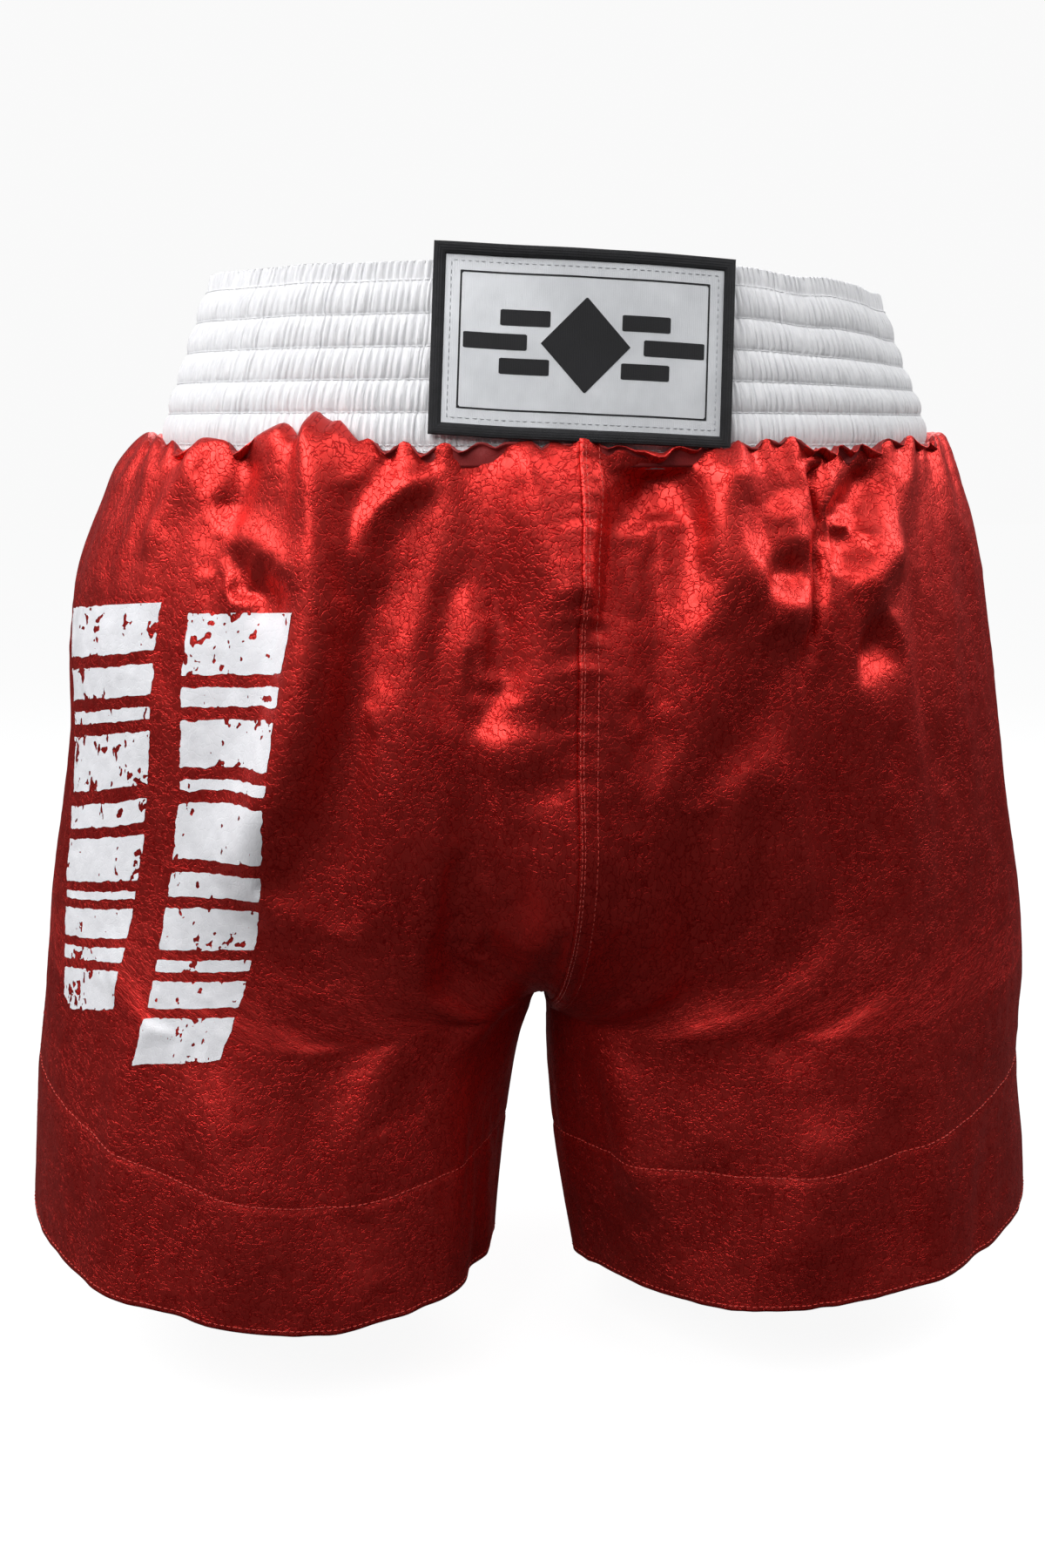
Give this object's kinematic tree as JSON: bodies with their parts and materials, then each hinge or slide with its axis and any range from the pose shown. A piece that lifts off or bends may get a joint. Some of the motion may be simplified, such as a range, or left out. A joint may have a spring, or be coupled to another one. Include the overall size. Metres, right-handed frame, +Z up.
{
  "type": "boxing shorts",
  "caption": "Boxing shorts in worn shape: shirred elastic waistband with a woven front label, wide satin legs with side vents, deep hem facings and a distressed leg print.",
  "frame": {"origin": "centre of the waist opening, level with the top edge of the waistband", "axes": "+Z up, out of the waist opening; the front, with the label, faces -Y; +X is the wearer's left"},
  "size_m": [0.552, 0.2895, 0.5205],
  "materials": {
    "red_satin": "embossed crackle satin, glossy",
    "white_waistband": "matt woven polyester, shirred",
    "elastic": "knitted elastic tape",
    "white_thread": "sewing thread",
    "silver_label": "woven satin, soft sheen",
    "black_weave": "dense woven polyester",
    "grey_thread": "sewing thread",
    "white_backing": "plain weave",
    "care_tape": "satin tape",
    "white_print": "thin printed ink, worn",
    "red_thread": "sewing thread"
  },
  "bodies": {
    "root": {"back_left_facing_thread": "red_thread", "back_left_hem_facing": "red_satin", "back_left_hem_threads": "red_thread", "back_left_panel": "red_satin", "back_right_facing_thread": "red_thread", "back_right_hem_facing": "red_satin", "back_right_hem_threads": "red_thread", "back_right_panel": "red_satin", "back_rise_threads": "red_thread", "care_label": "care_tape", "front_left_facing_thread": "red_thread", "front_left_hem_facing": "red_satin", "front_left_hem_threads": "red_thread", "front_left_panel": "red_satin", "front_right_facing_thread": "red_thread", "front_right_hem_facing": "red_satin", "front_right_hem_threads": "red_thread", "front_right_panel": "red_satin", "front_rise_threads": "red_thread", "label_backing": "white_backing", "label_border": "black_weave", "label_emblem": "black_weave", "label_face": "silver_label", "label_stitching": "grey_thread", "left_inseam_threads": "red_thread", "left_side_seam_threads": "red_thread", "left_vent_bartack": "red_thread", "leg_print": "white_print", "right_inseam_threads": "red_thread", "right_side_seam_threads": "red_thread", "right_vent_bartack": "red_thread", "waist_elastic_1": "elastic", "waist_elastic_2": "elastic", "waist_elastic_3": "elastic", "waist_elastic_4": "elastic", "waist_elastic_5": "elastic", "waistband_casing": "white_waistband", "waistband_channel_threads": "white_thread", "waistband_joining_thread": "white_thread"}
  },
  "joints": []
}
